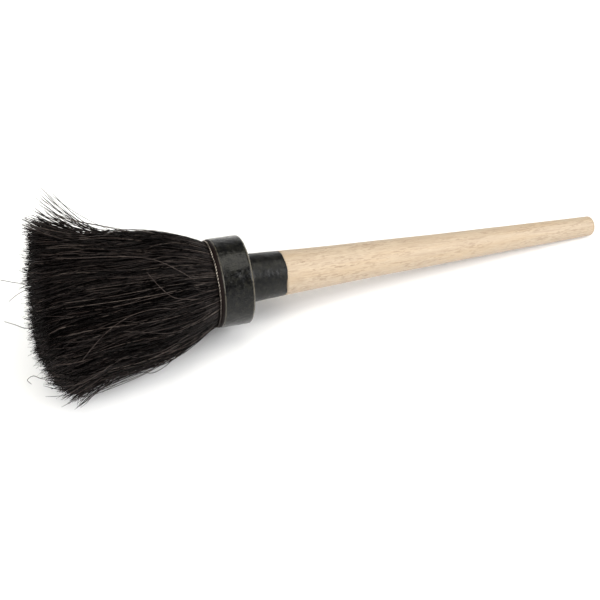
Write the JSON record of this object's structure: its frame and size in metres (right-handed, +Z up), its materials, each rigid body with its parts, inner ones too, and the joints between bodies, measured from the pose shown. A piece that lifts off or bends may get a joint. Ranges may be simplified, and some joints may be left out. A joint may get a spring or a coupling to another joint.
{
  "type": "tar brush",
  "caption": "Round tar brush: tapered wooden handle, stepped black steel ferrule and a flared knot of stiff black fibre, lying on its knot and handle end.",
  "frame": {"origin": "centre of the base of the bounding box, on the surface that the brush lies on", "axes": "+X runs from the fibre end to the handle end, +Z is up, +Y is across. The brush axis lies in the XZ plane and slopes down towards +X by 6.1 degrees."},
  "size_m": [0.4132, 0.099, 0.0996],
  "materials": {
    "handle_wood": "bare sanded beech",
    "ferrule_paint": "gloss black dipped paint",
    "compound": "dark cast resin",
    "wire": "dull twisted iron wire",
    "fibre": "stiff black-dyed natural fibre"
  },
  "bodies": {
    "root": {"handle": "handle_wood", "ferrule": "ferrule_paint", "ferrule_nail": "ferrule_paint", "setting_compound": "compound", "binding_wire": "wire", "outer_lock_01": "fibre", "outer_lock_02": "fibre", "outer_lock_03": "fibre", "outer_lock_04": "fibre", "outer_lock_05": "fibre", "outer_lock_06": "fibre", "outer_lock_07": "fibre", "outer_lock_08": "fibre", "outer_lock_09": "fibre", "outer_lock_10": "fibre", "outer_lock_11": "fibre", "outer_lock_12": "fibre", "inner_lock_01": "fibre", "inner_lock_02": "fibre", "inner_lock_03": "fibre", "inner_lock_04": "fibre", "inner_lock_05": "fibre", "inner_lock_06": "fibre", "centre_lock": "fibre"}
  },
  "joints": []
}
